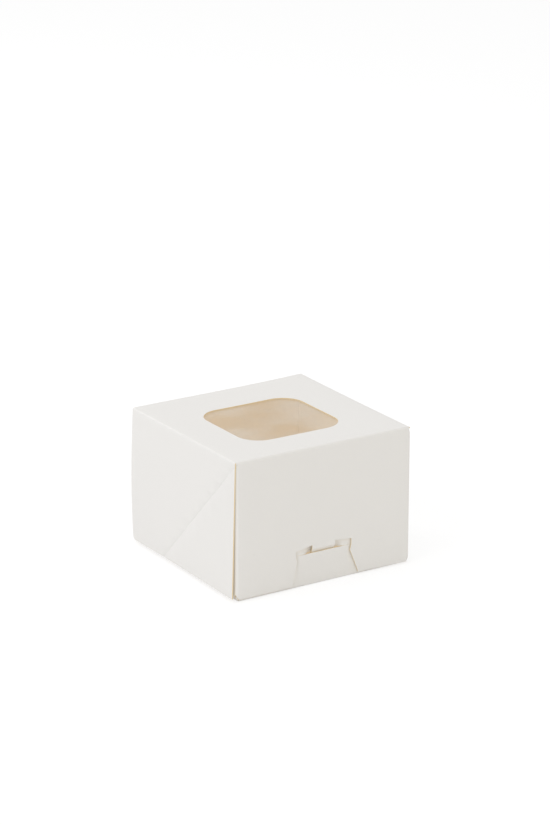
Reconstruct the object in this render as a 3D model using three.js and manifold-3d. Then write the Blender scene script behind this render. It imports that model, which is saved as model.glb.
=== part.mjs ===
// Donut box with a window: a pop-up carton folded and glued from one sheet of white board.
// Millimetres, +Z up, front towards -Y. The origin is on the table, under the middle of the box.
// The tray and the lid are one sheet on the real box, joined by the lid's rear crease. They are two
// solids here, parted along that crease, so that the lid can swing.

import * as THREE from 'three';
import { mergeVertices } from 'three/addons/utils/BufferGeometryUtils.js';
import Module from 'manifold-3d';

const wasm = await Module();
wasm.setup();

// Size of the closed box
const boxWidth = 100;
const boxDepth = 98;
const boxHeight = 71;

// Board and its folds
const boardThickness = 0.6;
const foldRadius = 1.0;
const clearance = 0.3;
const glueBite = 0.05;
const foldSteps = 4;

// Edges of the lid's walls
const lidLift = 1.5;
const sideSetback = 0.6;
const sideFootRadius = 1.6;
const sideHeadChamfer = 1.4;

// Glued corners and the diagonal creases that let them fold flat
const flapDepth = 24;
const flapTaper = 7;
const flapMargin = 2.5;
const creaseDrop = 1.7;
const creaseWidth = 0.8;
const creaseSink = 0.15;

// Headroom between the tray's walls and the inside of the lid
const trayHeadroom = 1.4;

// Window in the lid's top and the film glued under it
const windowWidth = 56;
const windowDepth = 51;
const windowRadius = 12;
const windowSteps = 8;
const windowShift = -2;
const filmThickness = 0.12;
const filmMargin = 8;
const filmRadius = 3;

// Slit in the tray's front wall, with its lower lip drawn out and its upper lip pushed in
const slitHeight = 16.8;
const slitLength = 32;
const slitKerf = 0.2;
const lipInset = 0.1;
const lipEase = 2.5;
const lipSteps = 3;
const upperLipReach = 10;
const lowerLipReach = 8;
const lipRows = 6;

// Opening in the lid's front panel around the tongue
const notchRiseAtNeck = 4.0;
const notchRiseAtEnd = 2.7;
const waistDrop = 2.9;
const waistInset = 0.7;
const footWidth = 38.4;

// Hammer-headed tongue that locks the lid
const neckWidth = 13.2;
const headLength = 10;
const headShoulder = 1.5;
const headRound = 3;
const tongueSteps = 6;

// Places worked out from the sizes above
const halfWidth = boxWidth / 2;
const frontY = -boxDepth / 2;
const backY = boxDepth / 2;
const lidSideInner = halfWidth - boardThickness;
const lidUnderside = boxHeight - boardThickness;
const trayHalfWidth = lidSideInner - boardThickness - clearance;
const trayFrontY = frontY + boardThickness + clearance;
const trayWallTop = lidUnderside - trayHeadroom;
const trayBackTop = lidUnderside - clearance;
const slitHalf = slitLength / 2;
const neckHalf = neckWidth / 2;
const beyond = 5;

const boardWhite = new THREE.MeshStandardMaterial({ color: 0xedebe9, roughness: 0.55, metalness: 0 });
const clearFilm = new THREE.MeshStandardMaterial({
  color: 0xe9e4da, roughness: 0.08, metalness: 0, transparent: true, opacity: 0.35,
});

const axisX = new THREE.Vector3(1, 0, 0);
const axisY = new THREE.Vector3(0, 1, 0);
const axisZ = new THREE.Vector3(0, 0, 1);
const extrusionFrames = {
  x: new THREE.Matrix4().makeBasis(axisY, axisZ, axisX),
  y: new THREE.Matrix4().makeBasis(axisX, axisZ, axisY.clone().negate()),
  z: new THREE.Matrix4(),
};

// Closed geometry to a solid that can be joined and cut
function solidOf(geometry) {
  geometry.deleteAttribute('normal');
  geometry.deleteAttribute('uv');
  const merged = mergeVertices(geometry, 1e-4);
  return new wasm.Manifold(new wasm.Mesh({
    numProp: 3,
    vertProperties: new Float32Array(merged.attributes.position.array),
    triVerts: new Uint32Array(merged.index.array),
  }));
}

// Shape drawn in (y, z), (x, z) or (x, y), pulled along x, y or z from one place to another
function pulled(axis, shape, from, to) {
  const geometry = new THREE.ExtrudeGeometry(shape, {
    depth: to - from, steps: 1, bevelEnabled: false, curveSegments: foldSteps,
  });
  geometry.translate(0, 0, axis === 'y' ? -to : from);
  geometry.applyMatrix4(extrusionFrames[axis]);
  return solidOf(geometry);
}

function polygon(points) {
  return new THREE.Shape(points.map(([u, v]) => new THREE.Vector2(u, v)));
}

// Closed outline through corners given as [u, v, radius]. A corner with a radius is rounded.
function roundedOutline(corners, steps = foldSteps) {
  const at = (index) => {
    const [u, v] = corners[(index + corners.length) % corners.length];
    return new THREE.Vector2(u, v);
  };
  const points = [];
  corners.forEach(([, , radius], index) => {
    const corner = at(index);
    if (!radius) {
      points.push(corner);
      return;
    }
    const before = corner.clone().sub(at(index - 1)).normalize();
    const after = at(index + 1).sub(corner).normalize();
    const sweep = Math.atan2(before.cross(after), before.dot(after));
    const side = Math.sign(sweep);
    const inward = new THREE.Vector2(-before.y * side, before.x * side);
    const centre = corner.clone()
      .addScaledVector(before, -radius * Math.tan(Math.abs(sweep) / 2))
      .addScaledVector(inward, radius);
    for (let step = 0; step <= steps; step += 1) {
      const angle = inward.angle() + (sweep * step) / steps;
      points.push(new THREE.Vector2(
        centre.x - radius * Math.cos(angle),
        centre.y - radius * Math.sin(angle),
      ));
    }
  });
  return new THREE.Shape(points);
}

function roundedRectangle(left, low, right, high, radius, steps) {
  return roundedOutline([
    [left, low, radius], [right, low, radius], [right, high, radius], [left, high, radius],
  ], steps);
}

// Section of a strip of board whose outer face runs through the corners. Each corner that isn't an
// end is a round fold, and a strip may start or end where its fold does.
function bentBoard(corners, insideIsLeft) {
  const points = corners.map(([u, v]) => new THREE.Vector2(u, v));
  const turn = insideIsLeft ? 1 : -1;
  const outer = [];
  const inner = [];
  const place = (point, inward) => {
    const last = outer[outer.length - 1];
    if (last && last.distanceTo(point) < 1e-6) return;
    outer.push(point);
    inner.push(point.clone().addScaledVector(inward, boardThickness));
  };
  const directionOf = (index) => points[index + 1].clone().sub(points[index]).normalize();
  const inwardOf = (direction) => new THREE.Vector2(-direction.y * turn, direction.x * turn);
  place(points[0], inwardOf(directionOf(0)));
  for (let index = 1; index < points.length - 1; index += 1) {
    const before = directionOf(index - 1);
    const startAngle = inwardOf(before).angle();
    const sweep = Math.atan2(before.cross(directionOf(index)), before.dot(directionOf(index)));
    const centre = points[index].clone()
      .addScaledVector(before, -foldRadius * Math.tan(Math.abs(sweep) / 2))
      .addScaledVector(inwardOf(before), foldRadius);
    for (let step = 0; step <= foldSteps; step += 1) {
      const angle = startAngle + (sweep * step) / foldSteps;
      const inward = new THREE.Vector2(Math.cos(angle), Math.sin(angle));
      place(centre.clone().addScaledVector(inward, -foldRadius), inward);
    }
  }
  place(points[points.length - 1], inwardOf(directionOf(points.length - 2)));
  return new THREE.Shape([...outer, ...inner.reverse()]);
}

// Board over a grid of x and z places, its front face at faceY moved by offset(x, z)
function warpedBoard(xs, zs, faceY, offset) {
  const positions = [];
  for (const layer of [0, boardThickness]) {
    for (const z of zs) {
      for (const x of xs) positions.push(x, faceY + layer + offset(x, z), z);
    }
  }
  const columns = xs.length;
  const rows = zs.length;
  const indices = [];
  const backLayer = rows * columns;
  for (let row = 0; row < rows - 1; row += 1) {
    for (let column = 0; column < columns - 1; column += 1) {
      const a = row * columns + column;
      const b = a + 1;
      const c = a + columns;
      const d = c + 1;
      indices.push(a, b, c, c, b, d);
      indices.push(backLayer + a, backLayer + c, backLayer + b, backLayer + c, backLayer + d, backLayer + b);
    }
  }
  const rim = [];
  for (let column = 0; column < columns - 1; column += 1) rim.push(column);
  for (let row = 0; row < rows - 1; row += 1) rim.push(row * columns + columns - 1);
  for (let column = columns - 1; column > 0; column -= 1) rim.push((rows - 1) * columns + column);
  for (let row = rows - 1; row > 0; row -= 1) rim.push(row * columns);
  rim.forEach((here, place) => {
    const next = rim[(place + 1) % rim.length];
    indices.push(here, here + backLayer, next, next, here + backLayer, next + backLayer);
  });
  const geometry = new THREE.BufferGeometry();
  geometry.setAttribute('position', new THREE.Float32BufferAttribute(positions, 3));
  geometry.setIndex(indices);
  return solidOf(geometry);
}

// Front wall with a flap folded back at each end, between two heights. Each flap is glued to the side
// wall's loose triangle, so its edge by the crease runs at 45 degrees beside it.
function wallWithFlaps(wallY, outerHalf, low, high, creaseEnd, freeEnd) {
  const bonded = outerHalf + glueBite;
  const plan = bentBoard([
    [-bonded, wallY + flapDepth], [-bonded, wallY], [bonded, wallY], [bonded, wallY + flapDepth],
  ], true);
  const away = Math.sign(freeEnd - creaseEnd);
  const outline = polygon([
    [wallY - beyond, creaseEnd - away * beyond],
    [wallY + foldRadius, creaseEnd - away * beyond],
    [wallY + foldRadius, creaseEnd + away * (flapMargin + foldRadius)],
    [wallY + flapDepth, creaseEnd + away * (flapMargin + flapDepth)],
    [wallY + flapDepth, freeEnd - away * flapTaper],
    [wallY + foldRadius, freeEnd],
    [wallY + foldRadius, freeEnd + away * beyond],
    [wallY - beyond, freeEnd + away * beyond],
  ]);
  return pulled('z', plan, low, high).intersect(pulled('x', outline, -boxWidth, boxWidth));
}

// Plan of the space between the side walls, its front corners rounded as the flaps' folds are
function cornerPlan(outerHalf, wallY, endY) {
  const bonded = outerHalf + glueBite;
  return roundedOutline([
    [-bonded, wallY, foldRadius], [bonded, wallY, foldRadius], [bonded, endY], [-bonded, endY],
  ]);
}

// V-shaped score on a side wall's face through (y, z), along 45 degrees, from one distance to another
function diagonalScore(faceX, y, z, rise, from, to) {
  const section = polygon([
    [-creaseWidth / 2, 0], [0, -creaseSink], [creaseWidth / 2, 0], [0, creaseSink],
  ]);
  const geometry = new THREE.ExtrudeGeometry(section, { depth: to - from, steps: 1, bevelEnabled: false });
  geometry.translate(0, 0, from);
  const along = new THREE.Vector3(0, 1, rise).normalize();
  const across = new THREE.Vector3().crossVectors(axisX, along);
  geometry.applyMatrix4(new THREE.Matrix4().makeBasis(across, axisX, along));
  geometry.translate(faceX, y, z);
  return solidOf(geometry);
}

// Rear crease: the lid turns about the outer corner of the board
const hinge = { y: backY, z: boxHeight };
const slitAngle = Math.atan2(hinge.z - slitHeight, hinge.y - trayFrontY);

// The lips part far enough for the tongue to pass with the clearance on both of its faces
const lowerLipPull = clearance + boardThickness - lipInset;
const tonguePassage = boardThickness + 2 * clearance;
const upperLipPush = tonguePassage / Math.cos(slitAngle) + slitKerf * Math.tan(slitAngle)
  + boardThickness - lowerLipPull;
const upperLipRadius = Math.hypot(
  hinge.y - (trayFrontY + upperLipPush),
  hinge.z - (slitHeight + slitKerf / 2),
);
const lowerLipRadius = Math.hypot(
  hinge.y - (trayFrontY + boardThickness - lowerLipPull),
  hinge.z - (slitHeight - slitKerf / 2),
);
const tongueRadius = (upperLipRadius + lowerLipRadius) / 2;
const tongueOuter = tongueRadius + boardThickness / 2;
const tongueInner = tongueRadius - boardThickness / 2;

// Share of a lip's full displacement at x, and at a distance up or down from the slit
function lipShareAcross(x) {
  const eased = (Math.abs(x) - (slitHalf - lipEase)) / lipEase;
  return 0.5 + 0.5 * Math.cos(Math.PI * THREE.MathUtils.clamp(eased, 0, 1));
}

function lipShareAway(distance, reach) {
  return 0.5 + 0.5 * Math.cos(Math.PI * THREE.MathUtils.clamp(distance / reach, 0, 1));
}

// One lip of the slit, from its cut edge to where it runs out into the flat wall
function slitLip(upward, reach, displacement) {
  const edge = slitHeight + (upward * slitKerf) / 2;
  const far = slitHeight + upward * reach;
  const xs = [];
  for (let step = 0; step <= lipSteps; step += 1) xs.push(-slitHalf + (lipEase * step) / lipSteps);
  for (let step = lipSteps; step >= 0; step -= 1) xs.push(slitHalf - (lipEase * step) / lipSteps);
  const zs = [];
  for (let row = 0; row <= lipRows; row += 1) zs.push(edge + ((far - edge) * row) / lipRows);
  if (upward < 0) zs.reverse();
  const offset = (x, z) => displacement * lipShareAcross(x) * lipShareAway(z - edge, far - edge);
  return warpedBoard(xs, zs, trayFrontY, offset);
}

// Quarter folds between a horizontal panel at level and the two side walls
function sideFolds(outerHalf, level, inwardZ, from, to) {
  const panelHalf = outerHalf - foldRadius;
  const wallEnd = level + inwardZ * foldRadius;
  const left = bentBoard([[-outerHalf, wallEnd], [-outerHalf, level], [-panelHalf, level]], inwardZ > 0);
  const right = bentBoard([[outerHalf, wallEnd], [outerHalf, level], [panelHalf, level]], inwardZ < 0);
  return pulled('y', left, from, to).add(pulled('y', right, from, to));
}

// The same YZ outline as a sheet of board on the left and on the right
function sideWalls(outline, outerHalf) {
  const left = pulled('x', outline, -outerHalf, -outerHalf + boardThickness);
  return left.add(pulled('x', outline, outerHalf - boardThickness, outerHalf));
}

// Tray: floor, front wall with the slit, back wall and two side walls
function makeTray() {
  const sideInner = trayHalfWidth - boardThickness;
  const floorHalf = trayHalfWidth - foldRadius;
  const floorFrontY = trayFrontY + foldRadius;
  const floorBackY = backY - foldRadius;

  const floorPlan = polygon([
    [-floorHalf, floorFrontY], [floorHalf, floorFrontY], [floorHalf, floorBackY], [-floorHalf, floorBackY],
  ]);
  const floor = pulled('z', floorPlan, 0, boardThickness);
  const frontFold = pulled('x', bentBoard([
    [trayFrontY, foldRadius], [trayFrontY, 0], [floorFrontY, 0],
  ], true), -trayHalfWidth, trayHalfWidth)
    .intersect(pulled('z', cornerPlan(sideInner, trayFrontY, backY), -beyond, boxHeight));
  const backWall = pulled('x', bentBoard([
    [floorBackY, 0], [backY, 0], [backY, trayBackTop],
  ], true), -trayHalfWidth, trayHalfWidth);
  const frontWall = wallWithFlaps(
    trayFrontY, sideInner, foldRadius, trayWallTop, creaseDrop, trayWallTop,
  );
  const sideOutline = roundedOutline([
    [trayFrontY, foldRadius], [floorBackY, foldRadius],
    [floorBackY, trayWallTop, foldRadius], [trayFrontY, trayWallTop, foldRadius],
  ]);
  let tray = floor.add(frontFold).add(frontWall).add(backWall)
    .add(sideFolds(trayHalfWidth, 0, 1, floorFrontY, floorBackY))
    .add(sideWalls(sideOutline, trayHalfWidth));

  const lipHole = polygon([
    [-slitHalf, slitHeight - lowerLipReach], [slitHalf, slitHeight - lowerLipReach],
    [slitHalf, slitHeight + upperLipReach], [-slitHalf, slitHeight + upperLipReach],
  ]);
  tray = tray.subtract(pulled('y', lipHole, trayFrontY - beyond, trayFrontY + beyond))
    .add(slitLip(1, upperLipReach, upperLipPush))
    .add(slitLip(-1, lowerLipReach, -lowerLipPull));

  for (const faceX of [-sideInner, sideInner]) {
    tray = tray.subtract(diagonalScore(
      faceX, trayFrontY, creaseDrop, 1, 2 * foldRadius, boxHeight * Math.SQRT2,
    ));
  }
  return tray;
}

// Tongue's section: down in the plane of the front panel, then along an arc about the hinge
function tongueSection() {
  const drop = (radius, reach) => hinge.z - Math.sqrt(radius ** 2 - reach ** 2);
  const outerStart = drop(tongueOuter, hinge.y - frontY);
  const innerStart = drop(tongueInner, hinge.y - frontY - boardThickness);
  const endAngle = slitAngle + headLength / tongueRadius;
  const arc = (radius, startZ) => {
    const startAngle = Math.asin((hinge.z - startZ) / radius);
    const points = [];
    for (let step = 0; step <= tongueSteps; step += 1) {
      const angle = startAngle + ((endAngle - startAngle) * step) / tongueSteps;
      points.push([hinge.y - radius * Math.cos(angle), hinge.z - radius * Math.sin(angle)]);
    }
    return points;
  };
  const neckEnd = Math.max(outerStart, innerStart) + boardThickness;
  const section = polygon([
    [frontY, neckEnd], ...arc(tongueOuter, outerStart),
    ...arc(tongueInner, innerStart).reverse(), [frontY + boardThickness, neckEnd],
  ]);
  return { section, neckEnd, tip: hinge.z - tongueOuter * Math.sin(endAngle) };
}

// Tongue seen from the front: a neck, shoulders under the slit and a head with rounded ends
function tongueOutline(neckEnd, tip) {
  const headHalf = slitHalf - lipEase - clearance;
  const shoulderZ = slitHeight - headShoulder;
  const top = neckEnd + beyond;
  return roundedOutline([
    [-neckHalf, top], [-neckHalf, shoulderZ], [-headHalf, shoulderZ - headShoulder],
    [-headHalf, tip - boardThickness, headRound], [headHalf, tip - boardThickness, headRound],
    [headHalf, shoulderZ - headShoulder], [neckHalf, shoulderZ], [neckHalf, top],
  ]);
}

// Opening in the lid's front panel: a notch each side of the neck over a flared cut-out
function lockOpening(neckEnd) {
  const footHalf = footWidth / 2;
  const waistHalf = slitHalf - waistInset;
  const rightSide = [
    [footHalf, lidLift],
    [waistHalf, slitHeight - waistDrop],
    [slitHalf, slitHeight],
    [slitHalf, slitHeight + notchRiseAtEnd],
    [neckHalf, slitHeight + notchRiseAtNeck],
    [neckHalf, neckEnd],
  ];
  const leftSide = rightSide.map(([x, z]) => [-x, z]).reverse();
  return polygon([[-footHalf, lidLift - beyond], [footHalf, lidLift - beyond], ...rightSide, ...leftSide]);
}

// Lid: top with the window, front panel with the tongue, and two side walls over the tray's
function makeLid() {
  const roofHalf = halfWidth - foldRadius;
  const roofFrontY = frontY + foldRadius;
  const wallTop = boxHeight - foldRadius;

  const roofPlan = polygon([
    [-roofHalf, roofFrontY], [roofHalf, roofFrontY], [roofHalf, backY], [-roofHalf, backY],
  ]);
  const windowPlan = roundedRectangle(
    -windowWidth / 2, windowShift - windowDepth / 2,
    windowWidth / 2, windowShift + windowDepth / 2, windowRadius, windowSteps,
  );
  const roof = pulled('z', roofPlan, lidUnderside, boxHeight)
    .subtract(pulled('z', windowPlan, lidUnderside - beyond, boxHeight + beyond));
  const frontFold = pulled('x', bentBoard([
    [roofFrontY, boxHeight], [frontY, boxHeight], [frontY, wallTop],
  ], true), -halfWidth, halfWidth)
    .intersect(pulled('z', cornerPlan(lidSideInner, frontY, backY), 0, boxHeight + beyond));
  const frontWall = wallWithFlaps(
    frontY, lidSideInner, lidLift, wallTop, boxHeight - creaseDrop, lidLift,
  );
  const sideEndY = backY - sideSetback;
  const sideOutline = roundedOutline([
    [frontY, lidLift], [sideEndY, lidLift, sideFootRadius],
    [sideEndY, wallTop - sideHeadChamfer], [backY, wallTop], [frontY, wallTop],
  ]);
  let lid = roof.add(frontFold).add(frontWall)
    .add(sideFolds(halfWidth, boxHeight, -1, roofFrontY, backY))
    .add(sideWalls(sideOutline, halfWidth));

  const { section, neckEnd, tip } = tongueSection();
  lid = lid.subtract(pulled('y', lockOpening(neckEnd), frontY - beyond, frontY + beyond));
  const tongue = pulled('x', section, -slitHalf, slitHalf)
    .intersect(pulled('y', tongueOutline(neckEnd, tip), frontY - beyond, 0));
  lid = lid.add(tongue);

  for (const faceX of [-halfWidth, halfWidth]) {
    lid = lid.subtract(diagonalScore(
      faceX, frontY, boxHeight - creaseDrop, -1, -beyond, boxHeight * Math.SQRT2,
    ));
  }
  return lid;
}

// Clear film glued under the lid's top, lapping the window all round
function makeFilm() {
  const lap = filmMargin;
  const sheet = roundedRectangle(
    -windowWidth / 2 - lap, windowShift - windowDepth / 2 - lap,
    windowWidth / 2 + lap, windowShift + windowDepth / 2 + lap, filmRadius,
  );
  return pulled('z', sheet, lidUnderside - filmThickness, lidUnderside);
}

function namedMesh(name, solid, material) {
  const { vertProperties, triVerts } = solid.getMesh();
  const geometry = new THREE.BufferGeometry();
  geometry.setAttribute('position', new THREE.BufferAttribute(new Float32Array(vertProperties), 3));
  geometry.setIndex(new THREE.BufferAttribute(new Uint32Array(triVerts), 1));
  geometry.computeVertexNormals();
  const mesh = new THREE.Mesh(geometry, material);
  mesh.name = name;
  return mesh;
}

const lidGroup = new THREE.Group();
lidGroup.add(namedMesh('lid', makeLid(), boardWhite));
lidGroup.add(namedMesh('window_film', makeFilm(), clearFilm));

const donutBox = new THREE.Group();
donutBox.add(namedMesh('tray', makeTray(), boardWhite));
donutBox.add(lidGroup);

export default donutBox;
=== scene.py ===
"""Donut box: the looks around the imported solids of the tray, the lid and the window film.

Lengths are in metres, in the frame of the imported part: the front panel faces -Y, the lid's hinge is at
the back of the top, and the origin is on the table under the middle of the box.
"""

import logging
import math
from dataclasses import dataclass, field
from enum import Enum
from typing import Callable, Iterable

import bmesh
import bpy
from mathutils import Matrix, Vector


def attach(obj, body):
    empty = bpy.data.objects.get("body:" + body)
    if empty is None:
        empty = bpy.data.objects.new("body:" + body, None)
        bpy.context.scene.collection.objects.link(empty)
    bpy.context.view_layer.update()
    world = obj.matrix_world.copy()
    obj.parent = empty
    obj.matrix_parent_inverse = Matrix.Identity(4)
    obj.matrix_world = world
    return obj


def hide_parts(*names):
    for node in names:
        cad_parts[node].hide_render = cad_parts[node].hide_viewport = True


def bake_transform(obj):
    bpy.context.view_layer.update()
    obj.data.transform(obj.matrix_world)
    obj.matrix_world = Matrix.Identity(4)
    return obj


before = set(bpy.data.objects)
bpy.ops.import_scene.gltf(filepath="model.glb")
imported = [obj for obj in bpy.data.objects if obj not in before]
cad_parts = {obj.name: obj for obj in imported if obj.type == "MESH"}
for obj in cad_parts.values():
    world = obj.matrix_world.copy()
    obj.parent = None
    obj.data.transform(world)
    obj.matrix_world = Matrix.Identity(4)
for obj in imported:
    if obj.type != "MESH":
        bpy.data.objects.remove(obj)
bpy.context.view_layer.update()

log = logging.getLogger("donut_box")

MM = 0.001

# Tolerances: of cuts, of welding, of three ways to pick by place, and of a face's direction
TOUCHING = 0.001 * MM
WELDED = 0.0001 * MM
HAIR = 0.01 * MM
SKIN = 0.05 * MM
SLIVER = 0.1 * MM
FLAT = 0.01

FaceTest = Callable[[bmesh.types.BMFace], bool]
EdgeTest = Callable[[bmesh.types.BMEdge], bool]


class Body(Enum):
    """The two bodies of the box, by their names in the frame."""

    BASE = "base"
    COVER = "cover"


class Slot(Enum):
    """The record's material slots."""

    BOARD = "white_board"
    FILM = "clear_film"


class Element(Enum):
    """Kinds of mesh element that are picked."""

    FACE = "FACE"
    EDGE = "EDGE"


class BoardFace(Enum):
    """Places of the three board finishes in a sheet's material slots."""

    OUTSIDE = 0
    INSIDE = 1
    CUT_EDGE = 2


@dataclass(frozen=True)
class Carton:
    """Sizes that the sheets of the carton share.

    Args:
        width: outer width of the lid.
        depth: outer depth of the lid.
        height: outer height of the closed box.
        board: thickness of the board.
        fold: outer radius of a fold.
        clearance: running gap between the lid and the tray.
        lid_lift: Z of the lid's free edge.
        hinge_run: how far the rear crease runs forward and down from the back's top edge.
        slit_height: Z of the slit.
        slit_half: half of the slit's length.
        lip_ease: length over which a lip closes at each end of the slit.
        lip_slack: margin that the lips keep.
        flap_depth: how far a glued flap reaches back.
        flap_margin: how far a flap's slanted edge keeps from the diagonal crease.
        crease_drop: how far under the top the diagonal crease starts.
        crease_half: half of the crease's width.
        crease_sink: how deep the crease is pressed.
        corner_rise: how far the back right corner is raised.
        top_sag: how far the middle of the top sags.
        grid: distance between the cuts that let a sheet bow.
    """

    width: float = 100 * MM
    depth: float = 98 * MM
    height: float = 71 * MM
    board: float = 0.6 * MM
    fold: float = 1.0 * MM
    clearance: float = 0.3 * MM
    lid_lift: float = 1.5 * MM
    hinge_run: float = 0.8 * MM
    slit_height: float = 16.8 * MM
    slit_half: float = 16.0 * MM
    lip_ease: float = 2.5 * MM
    lip_slack: float = 0.1 * MM
    flap_depth: float = 24 * MM
    flap_margin: float = 2.5 * MM
    crease_drop: float = 1.7 * MM
    crease_half: float = 0.4 * MM
    crease_sink: float = 0.15 * MM
    corner_rise: float = 0.8 * MM
    top_sag: float = 0.25 * MM
    grid: float = 7 * MM

    @property
    def half(self) -> float:
        """Half of the lid's outer width."""
        return self.width / 2

    @property
    def front(self) -> float:
        """Y of the lid's front face."""
        return -self.depth / 2

    @property
    def back(self) -> float:
        """Y of the tray's back face, where the hinge is."""
        return self.depth / 2

    @property
    def tray_half(self) -> float:
        """Half of the tray's outer width."""
        return self.half - 2 * self.board - self.clearance

    @property
    def tray_front(self) -> float:
        """Y of the tray's front face."""
        return self.front + self.board + self.clearance

    @property
    def slit_angle(self) -> float:
        """Angle below the horizontal from the hinge to the slit."""
        return math.atan2(self.height - self.slit_height, self.back - self.tray_front)

    @property
    def lower_lip_pull(self) -> float:
        """How far the slit's lower lip stands out."""
        return self.clearance + self.board - self.lip_slack

    @property
    def upper_lip_push(self) -> float:
        """How far the slit's upper lip is pushed in, for the tongue to pass."""
        passage = self.board + 2 * self.clearance
        return passage / math.cos(self.slit_angle) + self.board + self.lip_slack - self.lower_lip_pull


CARTON = Carton()


class Bench:
    """Edit-mode steps that act on the faces or edges picked by their place."""

    def __init__(self, name: str) -> None:
        """Starts with nothing selected.

        Args:
            name: the name that the piece gets.
        """
        self.name = name
        self.piece: bpy.types.Object | None = None

    def cube(self, low: tuple[float, float, float], high: tuple[float, float, float]) -> None:
        """Adds a box between two corners, with its place in its mesh.

        Args:
            low: lowest corner.
            high: highest corner.
        """
        bpy.ops.object.select_all(action="DESELECT")
        middle = [(a + b) / 2 for a, b in zip(low, high)]
        bpy.ops.mesh.primitive_cube_add(size=1, location=middle)
        self.piece = bpy.context.object
        self.piece.name = self.name
        self.piece.data.name = self.name
        self.piece.scale = [b - a for a, b in zip(low, high)]
        bpy.ops.object.transform_apply(location=True, rotation=True, scale=True)

    def pick(self, kind: Element, wanted: FaceTest | EdgeTest) -> int:
        """Selects the wanted elements of one kind, and nothing else.

        Args:
            kind: faces or edges.
            wanted: says of an element whether it is wanted.

        Returns:
            How many were selected.
        """
        if bpy.context.mode != "EDIT_MESH":
            bpy.ops.object.mode_set(mode="EDIT")
        bpy.ops.mesh.select_mode(type=kind.value)
        bpy.ops.mesh.select_all(action="DESELECT")
        mesh = bmesh.from_edit_mesh(self.piece.data)
        count = 0
        for element in mesh.faces if kind is Element.FACE else mesh.edges:
            if wanted(element):
                element.select_set(True)
                count += 1
        mesh.select_flush_mode()
        bmesh.update_edit_mesh(self.piece.data)
        return count

    def delete_faces(self, wanted: FaceTest) -> None:
        """Deletes the faces that are wanted."""
        self.pick(Element.FACE, wanted)
        bpy.ops.mesh.delete(type="FACE")

    def bevel(self, wanted: EdgeTest, radius: float, segments: int = 4) -> None:
        """Rounds the edges that are wanted.

        Args:
            wanted: says which edges are rounded.
            radius: radius of the round.
            segments: faces across the round.
        """
        self.pick(Element.EDGE, wanted)
        bpy.ops.mesh.bevel(offset=radius, segments=segments, profile=0.5, affect="EDGES")

    def bisect(
        self, point: Iterable[float], normal: Iterable[float],
        wanted: FaceTest = lambda face: True, clear: bool = False,
    ) -> None:
        """Cuts the wanted faces by a plane.

        Args:
            point: a point on the plane.
            normal: the plane's normal.
            wanted: says which faces are cut.
            clear: whether what lies on the normal's side is removed.
        """
        if self.pick(Element.FACE, wanted):
            bpy.ops.mesh.bisect(plane_co=point, plane_no=normal, threshold=TOUCHING)
        if clear:
            start, away = Vector(point), Vector(normal).normalized()
            self.delete_faces(
                lambda face: wanted(face) and (face_middle(face) - start).dot(away) > TOUCHING,
            )

    def grid(self, low: Vector, high: Vector, pitch: float) -> None:
        """Cuts the whole sheet by evenly spaced planes, so that it can bow.

        Args:
            low: lowest corner of the sheet.
            high: highest corner of the sheet.
            pitch: wanted distance between the planes.
        """
        for axis in range(3):
            steps = max(1, round((high[axis] - low[axis]) / pitch))
            for step in range(1, steps):
                place = low[axis] + (high[axis] - low[axis]) * step / steps
                point = [place if a == axis else 0.0 for a in range(3)]
                normal = [1.0 if a == axis else 0.0 for a in range(3)]
                self.bisect(point, normal)

    def displace(self, move: Callable[[Vector, bmesh.types.BMVert], Vector]) -> None:
        """Moves each vertex.

        Args:
            move: gives the shift of a vertex from its place.
        """
        if bpy.context.mode != "EDIT_MESH":
            bpy.ops.object.mode_set(mode="EDIT")
        mesh = bmesh.from_edit_mesh(self.piece.data)
        shifts = [(vertex, move(vertex.co, vertex)) for vertex in mesh.verts]
        for vertex, shift in shifts:
            vertex.co += shift
        bmesh.update_edit_mesh(self.piece.data)

    def thicken(self, materials: list[bpy.types.Material], thickness: float) -> None:
        """Gives the sheet its thickness on the inner side, with its own inside and cut edges.

        Args:
            materials: finishes of the outside, the inside and the cut edges.
            thickness: thickness of the board.
        """
        bpy.ops.mesh.select_all(action="SELECT")
        bpy.ops.mesh.remove_doubles(threshold=WELDED)
        bpy.ops.object.mode_set(mode="OBJECT")
        for material in materials:
            self.piece.data.materials.append(material)
        solid = self.piece.modifiers.new("board", "SOLIDIFY")
        solid.thickness = thickness
        solid.offset = -1
        solid.use_even_offset = True
        solid.material_offset = BoardFace.INSIDE.value
        solid.material_offset_rim = BoardFace.CUT_EDGE.value
        bpy.ops.object.modifier_apply(modifier=solid.name)

    def carve(self, cutter: bpy.types.Object) -> None:
        """Cuts the piece by a closed shape and deletes the shape.

        Args:
            cutter: the closed shape.
        """
        bpy.ops.object.select_all(action="DESELECT")
        bpy.context.view_layer.objects.active = self.piece
        self.piece.select_set(True)
        cut = self.piece.modifiers.new("cut", "BOOLEAN")
        cut.operation = "DIFFERENCE"
        cut.solver = "EXACT"
        cut.material_mode = "TRANSFER"
        cut.object = cutter
        bpy.ops.object.modifier_apply(modifier=cut.name)
        bpy.data.objects.remove(cutter, do_unlink=True)

    def smooth(self, degrees: float = 28) -> None:
        """Smooths the piece over the folds and bows.

        Args:
            degrees: largest angle between two faces that is smoothed.
        """
        if bpy.context.mode == "EDIT_MESH":
            bpy.ops.object.mode_set(mode="OBJECT")
        bpy.ops.object.select_all(action="DESELECT")
        bpy.context.view_layer.objects.active = self.piece
        self.piece.select_set(True)
        bpy.ops.object.shade_smooth_by_angle(angle=math.radians(degrees))

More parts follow.
